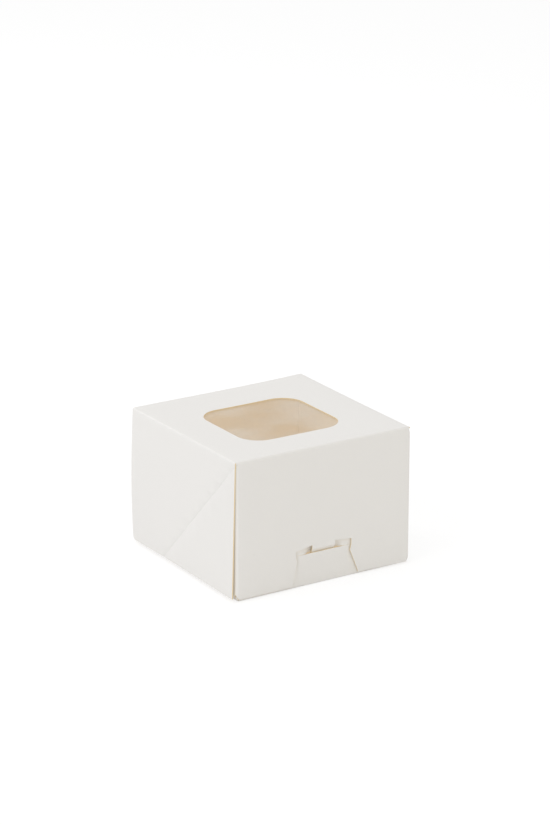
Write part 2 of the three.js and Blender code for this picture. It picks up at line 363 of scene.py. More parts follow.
    def finish(self, body: Body, node: str, slot: Slot = Slot.BOARD) -> bpy.types.Object:
        """Smooths the piece and hands it to the frame.

        Args:
            body: the body that it rides on.
            node: the CAD node that it stands for.
            slot: the record's material slot, which is not used.

        Returns:
            The finished piece.
        """
        self.smooth()
        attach(self.piece, body.value)
        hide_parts(node)
        log.info("%s: %d faces", self.name, len(self.piece.data.polygons))
        return self.piece


def near(value: float, place: float, within: float = 0.02 * MM) -> bool:
    """Whether a value is at a place."""
    return abs(value - place) < within


def edge_runs(edge: bmesh.types.BMEdge, axis: int) -> bool:
    """Whether an edge runs along an axis: 0 for X, 1 for Y, 2 for Z."""
    along = edge.verts[1].co - edge.verts[0].co
    return abs(along[axis]) > 0.999 * along.length > 0


def face_middle(face: bmesh.types.BMFace) -> Vector:
    """Middle of a face."""
    return face.calc_center_median()


def edge_middle(edge: bmesh.types.BMEdge) -> Vector:
    """Middle of an edge."""
    return (edge.verts[0].co + edge.verts[1].co) / 2


def eased(share: float) -> float:
    """1 at a share of 0 or less, 0 at a share of 1 or more, and smooth between."""
    return 0.5 + 0.5 * math.cos(math.pi * min(1.0, max(0.0, share)))


def raised_corner(place: Vector) -> Vector:
    """Shift that lifts the box's top towards its back right corner.

    Args:
        place: a point of the flat box.

    Returns:
        The shift.
    """
    rightness = max(0.0, place.x / CARTON.half)
    depth = max(0.0, (place.y - CARTON.front) / CARTON.depth)
    height = max(0.0, place.z / CARTON.height)
    return Vector((0, 0, CARTON.corner_rise * rightness ** 2 * depth ** 2 * height))


def slack_top(place: Vector) -> Vector:
    """Shift of a point of the lid's top, which is a little slack in the middle.

    Args:
        place: a point of the flat top.

    Returns:
        The shift.
    """
    across = math.cos(math.pi * place.x / CARTON.width)
    depth = min(1.0, max(0.0, (place.y - CARTON.front) / CARTON.depth))
    return Vector((0, 0, -CARTON.top_sag * across * math.sin(math.pi * depth)))


def arithmetic(
    tree: bpy.types.NodeTree, operation: str, *values: bpy.types.NodeSocket | float,
) -> bpy.types.NodeSocket:
    """Adds a math node.

    Args:
        tree: the node tree.
        operation: what it does.
        values: for each input, a socket to link or a number.

    Returns:
        The result's socket.
    """
    node = tree.nodes.new("ShaderNodeMath")
    node.operation = operation
    for place, value in zip(node.inputs, values):
        if isinstance(value, bpy.types.NodeSocket):
            tree.links.new(value, place)
        else:
            place.default_value = value
    return node.outputs["Value"]


def mapped(
    tree: bpy.types.NodeTree, value: bpy.types.NodeSocket, given: tuple[float, float],
    wanted: tuple[float, float] = (0.0, 1.0), kind: str = "LINEAR",
) -> bpy.types.NodeSocket:
    """Adds a node that turns one range of values into another.

    Args:
        tree: the node tree.
        value: the socket of the value.
        given: the range that it has.
        wanted: the range that it gets.
        kind: the way between the ends.

    Returns:
        The result's socket.
    """
    node = tree.nodes.new("ShaderNodeMapRange")
    node.interpolation_type = kind
    for name, number in zip(("From Min", "From Max", "To Min", "To Max"), (*given, *wanted)):
        node.inputs[name].default_value = number
    tree.links.new(value, node.inputs["Value"])
    return node.outputs["Result"]


def noise(
    tree: bpy.types.NodeTree, place: bpy.types.NodeSocket, detail: float, distortion: float = 0.0,
) -> bpy.types.Node:
    """Adds a cloudy noise.

    Args:
        tree: the node tree.
        place: the socket of the place.
        detail: how finely it is broken up.
        distortion: how far it is warped.

    Returns:
        The node, whose scale is still to be set.
    """
    node = tree.nodes.new("ShaderNodeTexNoise")
    node.inputs["Detail"].default_value = detail
    node.inputs["Distortion"].default_value = distortion
    tree.links.new(place, node.inputs["Vector"])
    return node


@dataclass(frozen=True)
class Mark:
    """A faint mark on the board.

    Args:
        place: its middle.
        radius: its radius.
        depth: how much it darkens the board, or lightens it where negative.
    """

    place: tuple[float, float, float]
    radius: float
    depth: float


MARKS = (
    Mark((-39.7 * MM, -49 * MM, 22.7 * MM), 1.6 * MM, 0.025),
    Mark((32.0 * MM, -49 * MM, 15.6 * MM), 1.2 * MM, 0.02),
    Mark((38.6 * MM, -49 * MM, 61.5 * MM), 0.4 * MM, 0.08),
    Mark((-51 * MM, 38 * MM, 40 * MM), 0.5 * MM, -0.06),
)


@dataclass(frozen=True)
class BoardFinish:
    """A finish of the board: coated outside, uncoated inside or cut edge.

    Args:
        name: the material's name.
        colour: the finish's colour, as sRGB values from 0 to 255.
        mottle: how far the colour wanders, as a share.
        roughness: roughness of the surface.
        bump: depth of the fibre relief.
        fibre_scale: fibres per metre.
        speck: how much the specks darken it.
        glow: faint emission, which stands for light that thin board lets through.
        marks: faint marks on it.
        specular: strength of its reflection.
        relief: height of the fibres.
    """

    name: str
    colour: tuple[float, float, float]
    mottle: float = 0.02
    roughness: float = 0.5
    bump: float = 0.05
    fibre_scale: float = 900.0
    speck: float = 0.0
    glow: float = 0.0
    marks: tuple[Mark, ...] = ()
    specular: float = 0.35
    relief: float = 0.1 * MM

    def make(self, fibre: bpy.types.NodeTree) -> bpy.types.Material:
        """Builds the material.

        Args:
            fibre: the node group of the board's fibres.

        Returns:
            The material.
        """
        material = bpy.data.materials.new(self.name)
        material.use_nodes = True
        tree = material.node_tree
        shader = tree.nodes["Principled BSDF"]
        shader.inputs["Roughness"].default_value = self.roughness
        shader.inputs["Specular IOR Level"].default_value = self.specular
        place = tree.nodes.new("ShaderNodeTexCoord")
        group = tree.nodes.new("ShaderNodeGroup")
        group.node_tree = fibre
        group.inputs["Colour"].default_value = (*linear(self.colour), 1)
        group.inputs["Mottle"].default_value = self.mottle
        group.inputs["Scale"].default_value = self.fibre_scale
        group.inputs["Speck"].default_value = self.speck
        tree.links.new(place.outputs["Object"], group.inputs["Place"])
        tree.links.new(group.outputs["Colour"], shader.inputs["Base Color"])
        if self.marks:
            self._mark(tree, place.outputs["Object"], group.inputs["Mark"])
        if self.glow:
            shader.inputs["Emission Strength"].default_value = self.glow
            tree.links.new(group.outputs["Colour"], shader.inputs["Emission Color"])
        bump = tree.nodes.new("ShaderNodeBump")
        bump.inputs["Strength"].default_value = self.bump
        bump.inputs["Distance"].default_value = self.relief
        tree.links.new(group.outputs["Height"], bump.inputs["Height"])
        tree.links.new(bump.outputs["Normal"], shader.inputs["Normal"])
        return material

    def _mark(
        self, tree: bpy.types.NodeTree, place: bpy.types.NodeSocket, target: bpy.types.NodeSocket,
    ) -> None:
        """Adds up the finish's marks and links their sum.

        Args:
            tree: the material's node tree.
            place: the socket that gives the place on the object.
            target: the socket that takes the sum.
        """
        total: bpy.types.NodeSocket | float = 0.0
        for mark in self.marks:
            away = tree.nodes.new("ShaderNodeVectorMath")
            away.operation = "DISTANCE"
            away.inputs[1].default_value = mark.place
            tree.links.new(place, away.inputs[0])
            fade = mapped(tree, away.outputs["Value"], (0.0, mark.radius), (mark.depth, 0.0), "SMOOTHSTEP")
            total = arithmetic(tree, "ADD", total, fade)
        tree.links.new(total, target)


def linear(colour: Iterable[float]) -> tuple[float, ...]:
    """Turns sRGB values from 0 to 255 into linear ones from 0 to 1."""
    return tuple(
        c / 255 / 12.92 if c / 255 <= 0.04045 else ((c / 255 + 0.055) / 1.055) ** 2.4 for c in colour
    )


def fibre_group() -> bpy.types.NodeTree:
    """Builds the node group of paper fibres: a mottled colour and a fine relief.

    Returns:
        The node group.
    """
    tree = bpy.data.node_groups.new("board_fibre", "ShaderNodeTree")
    kinds = {"Place": "Vector", "Colour": "Color", "Mottle": "Float", "Scale": "Float", "Speck": "Float",
             "Mark": "Float"}
    for name, kind in kinds.items():
        tree.interface.new_socket(name, in_out="INPUT", socket_type="NodeSocket" + kind)
    tree.interface.new_socket("Colour", in_out="OUTPUT", socket_type="NodeSocketColor")
    tree.interface.new_socket("Height", in_out="OUTPUT", socket_type="NodeSocketFloat")
    given = tree.nodes.new("NodeGroupInput").outputs
    result = tree.nodes.new("NodeGroupOutput").inputs
    cloud = noise(tree, given["Place"], detail=3.0)
    cloud.inputs["Scale"].default_value = 45.0
    fibres = noise(tree, given["Place"], detail=4.0, distortion=1.2)
    tree.links.new(given["Scale"], fibres.inputs["Scale"])
    cloud_share = 0.6
    blend = arithmetic(tree, "MULTIPLY_ADD", cloud.outputs["Fac"], cloud_share, fibres.outputs["Fac"])
    wander = mapped(tree, blend, given=(0.4, 1.2), wanted=(-1.0, 1.0))
    mottle = arithmetic(tree, "MULTIPLY", wander, given["Mottle"])
    cells = tree.nodes.new("ShaderNodeTexVoronoi")
    cells.inputs["Scale"].default_value = 260.0
    tree.links.new(given["Place"], cells.inputs["Vector"])
    specks = mapped(tree, cells.outputs["Distance"], given=(0.10, 0.02))
    value = arithmetic(tree, "ADD", mottle, 1.0)
    value = arithmetic(tree, "SUBTRACT", value, arithmetic(tree, "MULTIPLY", specks, given["Speck"]))
    value = arithmetic(tree, "SUBTRACT", value, given["Mark"])
    shade = tree.nodes.new("ShaderNodeHueSaturation")
    tree.links.new(given["Colour"], shade.inputs["Color"])
    tree.links.new(value, shade.inputs["Value"])
    tree.links.new(shade.outputs["Color"], result["Colour"])
    tree.links.new(fibres.outputs["Fac"], result["Height"])
    return tree


class BoardFinishes:
    """The three finishes of white-lined board, in the order of BoardFace."""

    def __init__(self) -> None:
        """Builds the shared fibre group and the materials."""
        fibre = fibre_group()
        self.outside = BoardFinish("coated_white", (238, 236, 233), mottle=0.006, roughness=0.42,
                                   bump=0.04, fibre_scale=1500, marks=MARKS).make(fibre)
        self.inside = BoardFinish("uncoated_cream", (240, 228, 208), mottle=0.02, roughness=0.8,
                                  bump=0.15, fibre_scale=1200, speck=0.03, glow=0.14).make(fibre)
        self.edge = BoardFinish("cut_edge", (236, 218, 182), mottle=0.05, roughness=0.85,
                                bump=0.3, fibre_scale=2600).make(fibre)

    def in_order(self) -> list[bpy.types.Material]:
        """The materials in the order of a sheet's slots."""
        return [self.outside, self.inside, self.edge]


@dataclass
class FrontCorners:
    """The glued front corners of a sheet: side walls cut free, flaps folded back inside them.

    Args:
        half: half of the sheet's outer width.
        wall: Y of the front wall's outer face.
        crease_end: Z where the diagonal crease meets the front wall.
        free_end: Z of the walls' free edge.
        fold_end: Z where the walls turn into the sheet's flat panel.
        inset: how far the flap stays off the side wall.
        flap_fold: outer radius of the flap's fold.
        flap_trim: how far the flap's end stays back from the free edge.
        flap_slant: slant of that end.
    """

    half: float
    wall: float
    crease_end: float
    free_end: float
    fold_end: float
    inset: float = 0.03 * MM
    flap_fold: float = CARTON.fold
    flap_trim: float = 7 * MM
    flap_slant: float = 0.28

    def shape(self, bench: Bench) -> None:
        """Frees the side walls at the front and folds the flaps back.

        Args:
            bench: the bench that holds the sheet.
        """
        carton = CARTON
        corner = self.half - carton.board - self.inset
        for side in (-1, 1):
            bench.bisect((side * corner, 0, 0), (1, 0, 0))
        upright = sorted((self.fold_end, self.free_end))
        bench.delete_faces(lambda face: near(face.normal.y, -1, FLAT)
                           and near(face_middle(face).y, self.wall)
                           and abs(face_middle(face).x) > corner
                           and upright[0] < face_middle(face).z < upright[1])
        for side in (-1, 1):
            bench.pick(Element.EDGE, lambda edge: edge_runs(edge, 2) and len(edge.link_faces) == 1
                             and near(edge_middle(edge).x, side * corner)
                             and near(edge_middle(edge).y, self.wall))
            bpy.ops.mesh.extrude_edges_move(
                TRANSFORM_OT_translate={"value": (0, carton.flap_depth, 0)},
            )
            bench.bevel(lambda edge: edge_runs(edge, 2) and len(edge.link_faces) == 2
                        and near(edge_middle(edge).x, side * corner)
                        and near(edge_middle(edge).y, self.wall), self.flap_fold)
        away = 1 if self.free_end > self.crease_end else -1
        flap = lambda face: (abs(abs(face_middle(face).x) - corner) < HAIR
                             and abs(face.normal.x) > 1 - FLAT
                             and face_middle(face).y > self.wall + carton.fold / 2)
        bench.bisect(
            (0, self.wall, self.crease_end + away * carton.flap_margin), (0, 1, -away), flap, True,
        )
        bench.bisect((0, self.wall + carton.flap_depth, self.free_end - away * self.flap_trim),
                     (0, self.flap_slant, away), flap, True)


@dataclass
class LidBoard:
    """The lid: top with the window, front panel with the lock, and the side walls over the tray's.

    Args:
        window: width, depth and corner radius of the window.
        window_shift: how far the window's middle lies from the lid's, across and along.
        window_faces: faces round a corner of the window.
        cutter_reach: how far the window's cutter passes the top, up and down.
        seat: how far behind the panel's face the right wall starts.
        seat_taper: width over which the panel's right edge is drawn out.
        left_seat: how far behind the panel's face the left wall starts at the top.
        left_slant: how much further back it starts for each unit down.
        left_chamfer: clip of the panel's bottom left corner.
        right_chamfer: clip of its bottom right corner.
        chamfer_slant: slant of both.
        corner_slant: slant at which the right fold starts at the front.
        top_taper: height under the fold over which the panel's reach fades.
        right_reach: how far the panel reaches past the right wall's inner face.
        right_drop: how far its bottom right corner hangs.
        right_drop_height: height over which that fades.
        back_clips: clips of a side wall's lower back corner, each with its start and slant.
        flap_fold: outer radius of the flaps' folds.
        neck_half: half of the neck's width.
        neck_rise: how far over the slit the neck leaves the panel.
        notch_neck: height of the notches at the neck.
        notch_left: height of the left notch at the slit's end.
        notch_right: height of the right one.
        waist_drop: how far under the slit the opening is narrowest.
        waist_inset: how much narrower it is there.
        foot_left: reach of the opening's left foot.
        foot_right: reach of its right foot.
        lock_reach: half width and height of the cuts that bound the lock.
        lock_margin: how far past them faces are still cut.
        head_length: length of the tongue past the slit.
        head_half: half of the head's width.
        head_start: how far past the slit the head starts.
        head_ease: length over which the neck widens into it.
        head_round: how much narrower its last edge is, on each side.
        tongue_steps: faces along the tongue.
        back_bow: how far a side wall bows out at the back.
        bow_share: how much of a half wave the bow takes from the top down.
        triangle_lean: how far the front triangle leans out for each unit from the crease.
        right_lean: share of that lean on the right.
        bench: where it is modelled.
    """

    window: tuple[float, float, float] = (55.8 * MM, 52.4 * MM, 12 * MM)
    window_shift: tuple[float, float] = (-1.1 * MM, -2.6 * MM)
    window_faces: int = 16
    cutter_reach: float = 3 * MM
    seat: float = 1.8 * MM
    seat_taper: float = 4 * MM
    left_seat: float = 0.35 * MM
    left_slant: float = 0.022
    left_chamfer: float = 1.1 * MM
    right_chamfer: float = 1.7 * MM
    chamfer_slant: float = 0.5
    corner_slant: float = 3.0
    top_taper: float = 2.2 * MM
    right_reach: float = 1.4 * MM
    right_drop: float = 0.9 * MM
    right_drop_height: float = 12 * MM
    back_clips: tuple[tuple[float, float], ...] = ((1.2 * MM, 1.0), (0.5 * MM, 0.4))
    flap_fold: float = 1.5 * MM
    neck_half: float = 6.6 * MM
    neck_rise: float = 2.6 * MM
    notch_neck: float = 4.0 * MM
    notch_left: float = 2.3 * MM
    notch_right: float = 3.0 * MM
    waist_drop: float = 2.9 * MM
    waist_inset: float = 0.7 * MM
    foot_left: float = 18.0 * MM
    foot_right: float = 20.3 * MM
    lock_reach: float = 24 * MM
    lock_margin: float = 2 * MM
    head_length: float = 10 * MM
    head_half: float = 13.2 * MM
    head_start: float = 1.5 * MM
    head_ease: float = 1.2 * MM
    head_round: float = 2 * MM
    tongue_steps: int = 12
    back_bow: float = 1.5 * MM
    bow_share: float = 0.82
    triangle_lean: float = 0.022
    right_lean: float = 0.35
    bench: Bench = field(default_factory=lambda: Bench("lid_board"))

    def build(self, finishes: BoardFinishes) -> bpy.types.Object:
        """Models the sheet, gives it its thickness and cuts the window.

        Args:
            finishes: the board's finishes.

        Returns:
            The finished lid.
        """
        carton = CARTON
        bench = self.bench
        end = carton.back - carton.hinge_run
        bench.cube((-carton.half, carton.front, carton.lid_lift), (carton.half, end, carton.height))
        bench.delete_faces(lambda face: near(face.normal.z, -1, FLAT) or near(face.normal.y, 1, FLAT))
        bench.bevel(lambda edge: near(edge_middle(edge).z, carton.height) and len(edge.link_faces) == 2,
                    carton.fold)
        FrontCorners(carton.half, carton.front, carton.height - carton.crease_drop, carton.lid_lift,
                     carton.height - carton.fold, flap_fold=self.flap_fold).shape(bench)
        self._shape_front_corners()
        self._cut_lock()
        bench.grid(Vector((-carton.half, carton.front, carton.lid_lift)),
                   Vector((carton.half, end, carton.height)), carton.grid)
        for side in (-1, 1):
            wall = lambda face: face_middle(face).x * side > carton.half - SLIVER
            for offset in (-carton.crease_half, 0.0, carton.crease_half):
                bench.bisect((0, carton.front, carton.height - carton.crease_drop + offset * math.sqrt(2)),
                             (0, 1, 1), wall)
            self._trim_back_corner(wall)
        bench.displace(self._settle)
        bench.thicken(finishes.in_order(), carton.board)
        bench.carve(self._window_cutter(finishes.edge))
        return bench.finish(Body.COVER, "lid")

    def _shape_front_corners(self) -> None:
        """Clips the front panel's bottom corners and sets the side walls' front edges behind it."""
        carton = CARTON
        bench = self.bench
        corner = carton.half - carton.board
        bench.bisect((0, carton.front + self.seat, 0), (0, 1, 0))
        bench.bisect((0, 0, carton.height - carton.fold - self.top_taper), (0, 0, 1))
        bench.bisect((0, carton.front + self.seat, 0), (0, -1, 0),
                     lambda face: (face_middle(face).x > corner
                                   and face_middle(face).z < carton.height - carton.fold), True)
        bench.bisect((corner, carton.front, 0), (self.corner_slant, -1, 0),
                     lambda face: (face_middle(face).x > corner
                                   and face_middle(face).z > carton.height - carton.fold), True)
        bench.bisect((0, carton.front + self.left_seat, carton.height), (0, -1, -self.left_slant),
                     lambda face: face_middle(face).x < -corner, True)
        for side, chamfer in ((-1, self.left_chamfer), (1, self.right_chamfer)):
            bench.bisect((side * (corner - chamfer), 0, carton.lid_lift), (side, 0, -self.chamfer_slant),
                         lambda face: (abs(face_middle(face).x) < corner
                                       and face_middle(face).y < carton.front + self.seat
                                       and face_middle(face).z < carton.height - carton.fold), True)

    def _trim_back_corner(self, wall: FaceTest) -> None:
        """Clips the side wall's lower back corner.

        Args:
            wall: says which faces are the wall's.
        """
        carton = CARTON
        end = carton.back - carton.hinge_run
        for start, slant in self.back_clips:
            self.bench.bisect((0, end - start, carton.lid_lift), (0, 1, -slant), wall, True)

    def _cut_lock(self) -> None:
        """Cuts the opening round the neck and draws the tongue out of the neck's end."""
        carton = CARTON
        bench = self.bench
        slit = carton.slit_height
        waist = (carton.slit_half - self.waist_inset, slit - self.waist_drop)
        neck_end = slit + self.neck_rise
        limit = self.lock_reach + self.lock_margin
        panel = lambda face: near(face_middle(face).y, carton.front)
        region = lambda face: (panel(face) and abs(face_middle(face).x) < limit
                               and face_middle(face).z < limit)
        for side in (-1, 1):
            bench.bisect((side * self.lock_reach, 0, 0), (1, 0, 0), panel)
        bench.bisect((0, 0, self.lock_reach), (0, 0, 1), panel)
        outline: list[tuple[tuple[float, float], tuple[float, float]]] = []
        for side, notch, reach in (
            (-1, self.notch_left, self.foot_left), (1, self.notch_right, self.foot_right),
        ):
            foot = (side * reach, carton.lid_lift)
            middle = (side * waist[0], waist[1])
            slit_end = (side * carton.slit_half, slit)
            outer = (side * carton.slit_half, slit + notch)
            inner = (side * self.neck_half, slit + self.notch_neck)
            outline += [(foot, middle), (middle, slit_end), (slit_end, outer), (outer, inner)]
        outline += [((-1, neck_end), (1, neck_end)), ((-1, slit), (1, slit)), ((-1, waist[1]), (1, waist[1]))]
        outline += [((side * self.neck_half, 0), (side * self.neck_half, 1)) for side in (-1, 1)]
        for (ax, az), (bx, bz) in outline:
            bench.bisect((ax, 0, az), (bz - az, 0, ax - bx), region)

        def opened(face: bmesh.types.BMFace) -> bool:
            """Tells the faces of the lock's opening from the rest of the sheet.

            Args:
                face: a face of the sheet.

            Returns:
                Whether it lies in the front panel and in the opening.
            """
            middle = face_middle(face)
            if not near(middle.y, carton.front) or abs(middle.x) > self.lock_reach:
                return False
            if abs(middle.x) < self.neck_half:
                return middle.z < neck_end
            notch = self.notch_left if middle.x < 0 else self.notch_right
            share = (abs(middle.x) - self.neck_half) / (carton.slit_half - self.neck_half)
            if share > 0 and middle.z > slit:
                return share < 1 and middle.z < slit + self.notch_neck + (notch - self.notch_neck) * share
            if middle.z > waist[1]:
                edge = waist[0] + self.waist_inset * (middle.z - waist[1]) / self.waist_drop
                return abs(middle.x) < edge
            fall = (waist[1] - middle.z) / (waist[1] - carton.lid_lift)
            reach = self.foot_left if middle.x < 0 else self.foot_right
            return abs(middle.x) < waist[0] + (reach - waist[0]) * fall

        bench.delete_faces(opened)
        self._draw_tongue(neck_end)

    def _draw_tongue(self, neck_end: float) -> None:
        """Draws the tongue along an arc about the hinge, with its head behind the tray's wall.

        Args:
            neck_end: Z where the neck leaves the front panel.
        """
        carton = CARTON
        bench = self.bench
        upper = math.hypot(carton.back - carton.tray_front - carton.upper_lip_push,
                           carton.height - carton.slit_height)
        lower = math.hypot(carton.back - carton.tray_front - carton.board + carton.lower_lip_pull,
                           carton.height - carton.slit_height)
        radius = (upper + lower + carton.board) / 2
        start = math.acos((carton.back - carton.front) / radius)
        finish = carton.slit_angle + self.head_length / radius
        bench.pick(Element.EDGE, lambda edge: (len(edge.link_faces) == 1
                                               and near(edge_middle(edge).z, neck_end)
                                               and abs(edge_middle(edge).x) < self.neck_half
                                               and near(edge_middle(edge).y, carton.front)))
        here = Vector((0, carton.front, neck_end))
        width = self.neck_half
        for step in range(self.tongue_steps + 1):
            angle = start + (finish - start) * step / self.tongue_steps
            there = Vector((0, carton.back - radius * math.cos(angle),
                            carton.height - radius * math.sin(angle)))
            bpy.ops.mesh.extrude_edges_move(TRANSFORM_OT_translate={"value": there - here})
            below = (carton.slit_angle + self.head_start / radius - angle) * radius
            widened = (self.head_half - self.neck_half) * max(0.0, -below) / self.head_ease
            wanted = min(self.head_half, self.neck_half + widened)
            if step == self.tongue_steps:
                wanted = self.head_half - self.head_round
            bpy.ops.transform.resize(value=(wanted / width, 1, 1), center_override=(0, there.y, there.z))
            width = wanted
            here = there

    def _settle(self, place: Vector, vertex: bmesh.types.BMVert) -> Vector:
        """Finds how far a point of the lid lies from its place on a lid of flat panels.

        The back right corner is raised, the panel's right edge drawn out, the side walls bowed, their
        diagonal creases pressed in, and the top a little slack.

        Args:
            place: the point on the flat-walled lid.
            vertex: its vertex, which is not used.

        Returns:
            The shift.
        """
        carton = CARTON
        shift = raised_corner(place)
        depth = (place.y - carton.front) / carton.depth
        drop = (carton.height - place.z) / carton.height
        corner = carton.half - carton.board
        if place.y < carton.front + self.seat and corner - self.seat_taper < place.x < corner:
            fold_start = carton.height - carton.fold
            rise = eased((place.z - fold_start + self.top_taper) / self.top_taper)
            least = carton.board if place.z < fold_start + HAIR else 0.0
            reach = least + (self.right_reach - least) * rise
            shift.x += (reach * eased((corner - place.x) / self.seat_taper)
                        * eased((place.y - carton.front) / self.seat))
        if place.y < carton.front + self.seat and place.x > 0:
            low = max(0.0, 1 - (place.z - carton.lid_lift) / self.right_drop_height)
            shift.z -= self.right_drop * (place.x / carton.half) ** 2 * low
        if abs(place.x) > carton.half - SKIN:
            side = math.copysign(1, place.x)
            bow = self.back_bow * depth ** 2 * math.sin(math.pi * min(1.0, drop * self.bow_share))
            below_top = carton.height - carton.crease_drop - place.z
            before_crease = (below_top - (place.y - carton.front)) / math.sqrt(2)
            lean = self.triangle_lean * max(0.0, before_crease)
            sink = carton.crease_sink * eased(abs(before_crease) / carton.crease_half) if below_top > 0 else 0
            share = self.right_lean if side > 0 else 1.0
            shift.x = side * (bow + lean * share - sink)
        if near(place.z, carton.height):
            shift += slack_top(place)
        return shift

    def _window_cutter(self, edge: bpy.types.Material) -> bpy.types.Object:
        """Makes the shape that cuts the window.

        Args:
            edge: finish of the cut.

        Returns:
            The cutter.
        """
        width, depth, radius = self.window
        cutter = Bench("window_cutter")
        across, along = self.window_shift
        cutter.cube((across - width / 2, along - depth / 2, CARTON.height - self.cutter_reach),
                    (across + width / 2, along + depth / 2, CARTON.height + self.cutter_reach))
        cutter.bevel(lambda edge: edge_runs(edge, 2), radius, self.window_faces)
        bpy.ops.object.mode_set(mode="OBJECT")
        cutter.piece.data.materials.append(edge)
        return cutter.piece


@dataclass
class TrayBoard:
    """The tray: floor, front wall with the slit, back wall and side walls.

    Away from the neck the lips are flush, as in the photograph. This sheet wouldn't let the tongue's
    wider head through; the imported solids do.

    Args:
        wall_top: Z of the top of the front and side walls.
        upper_reach: height over which the upper lip's push fades.
        flush_reach: height over which its flush part fades.
        ledge: how far the flush part stays behind the lower lip.
        parted_half: half of the length over which the lips part.
        parted_ease: length over which they close again.
        lower_reach: height over which the lower lip's pull fades.
        columns: places of the cuts on both sides of the neck, in millimetres, closer where the lips bend.
        rows: places of the cuts over and under the slit, in millimetres.
        bench: where it is modelled.
    """

    wall_top: float = 69 * MM
    upper_reach: float = 10 * MM
    flush_reach: float = 2.6 * MM
    ledge: float = 0.16 * MM
    parted_half: float = 6.9 * MM
    parted_ease: float = 4.8 * MM
    lower_reach: float = 12 * MM
    columns: tuple[float, ...] = (5.5, 6.9, 8.1, 9.3, 10.5, 11.7, 13.5, 14.2, 14.8, 15.4, 16.0)
    rows: tuple[float, ...] = (-10, -8, -6, -4.5, -3, -1.5, 0, 0.7, 1.3, 2, 2.6, 4, 5.5, 7.5, 10)
    bench: Bench = field(default_factory=lambda: Bench("tray_board"))

    def build(self, finishes: BoardFinishes) -> bpy.types.Object:
        """Models the sheet and gives it its thickness.

        Args:
            finishes: the board's finishes.

        Returns:
            The finished tray.
        """
        carton = CARTON
        bench = self.bench
        half = carton.tray_half
        back_top = carton.height - carton.hinge_run
        bench.cube((-half, carton.tray_front, 0), (half, carton.back, back_top))
        bench.delete_faces(lambda face: near(face.normal.z, 1, FLAT))
        bench.bevel(lambda edge: near(edge_middle(edge).z, 0), carton.fold)
        not_back = lambda face: face_middle(face).y < carton.back - carton.board
        bench.bisect((0, 0, self.wall_top), (0, 0, 1), not_back, True)
        bench.bisect((0, carton.back - carton.fold, 0), (0, 1, 0))
        bench.delete_faces(lambda face: abs(face_middle(face).x) > half - SLIVER
                           and face_middle(face).y > carton.back - carton.fold
                           and face_middle(face).z > carton.fold)
        FrontCorners(half, carton.tray_front, carton.crease_drop, self.wall_top, carton.fold).shape(bench)
        bench.grid(Vector((-half, carton.tray_front, 0)), Vector((half, carton.back, back_top)), carton.grid)
        self._cut_slit()
        bench.displace(self._settle)
        bench.thicken(finishes.in_order(), carton.board)
        return bench.finish(Body.BASE, "tray")

    def _cut_slit(self) -> None:
        """Splits the front wall along the slit, with enough faces round it for the lips."""
        carton = CARTON
        bench = self.bench
        front = lambda face: near(face_middle(face).y, carton.tray_front)
        for side in (-1, 1):
            for place in self.columns:
                bench.bisect((side * place * MM, 0, 0), (1, 0, 0), front)
        for rise in self.rows:
            bench.bisect((0, 0, carton.slit_height + rise * MM), (0, 0, 1), front)
        bench.pick(Element.EDGE, lambda edge: near(edge_middle(edge).z, carton.slit_height)
                         and near(edge_middle(edge).y, carton.tray_front) and edge_runs(edge, 0)
                         and abs(edge_middle(edge).x) < carton.slit_half)
        bpy.ops.mesh.edge_split(type="EDGE")

    def _settle(self, place: Vector, vertex: bmesh.types.BMVert) -> Vector:
        """Shift of a point of the tray: the raised corner, and the slit's lips parted beside the neck.

        Args:
            place: the point on the flat wall.
            vertex: its vertex.

        Returns:
            The shift.
        """
        carton = CARTON
        shift = raised_corner(place)
        rise = place.z - carton.slit_height
        if not near(place.y, carton.tray_front) or abs(place.x) >= carton.slit_half - TOUCHING:
            return shift
        across = eased((abs(place.x) - carton.slit_half + carton.lip_ease) / carton.lip_ease)
        above = any(face_middle(face).z > carton.slit_height for face in vertex.link_faces)
        if rise > TOUCHING or (abs(rise) <= TOUCHING and above):
            parted = eased((abs(place.x) - self.parted_half) / self.parted_ease)
            push = carton.upper_lip_push * parted * eased(rise / self.upper_reach)
            stand = (carton.lower_lip_pull - self.ledge) * (1 - parted) * eased(rise / self.flush_reach)
            shift.y = across * (push - stand)
        else:
            shift.y = -carton.lower_lip_pull * across * eased(-rise / self.lower_reach)
        return shift


@dataclass
class HingeCrease:
    """The lid's rear crease, where the one sheet turns from the top into the back wall.

    Args:
        round_share: share of the crease's run that is rounded.
        round_faces: faces across the round.
        smoothed: largest angle that is smoothed, in degrees.
        bench: where it is modelled.
    """

    round_share: float = 0.98
    round_faces: int = 6
    smoothed: float = 40
    bench: Bench = field(default_factory=lambda: Bench("hinge_crease"))

    def build(self, finishes: BoardFinishes) -> bpy.types.Object:
        """Models the fold and bends it between the tray and the lid.

        Args:
            finishes: the board's finishes.

        Returns:
            The crease.
        """
        carton = CARTON
        bench = self.bench
        run = carton.hinge_run
        half = carton.tray_half
        bench.cube((-half, carton.back - run, carton.height - run), (half, carton.back, carton.height))
        bench.delete_faces(lambda face: not (near(face.normal.z, 1, FLAT) or near(face.normal.y, 1, FLAT)))
        bench.bevel(lambda edge: len(edge.link_faces) == 2, run * self.round_share,
                    self.round_faces)
        bench.grid(Vector((-half, 0, 0)), Vector((half, 0, 0)), carton.grid)
        bench.displace(lambda place, vertex: raised_corner(place))
        bench.thicken(finishes.in_order(), carton.board)
        bench.smooth(self.smoothed)
        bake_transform(bench.piece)
        log.info("hinge_crease: %d faces", len(bench.piece.data.polygons))
        return bench.piece


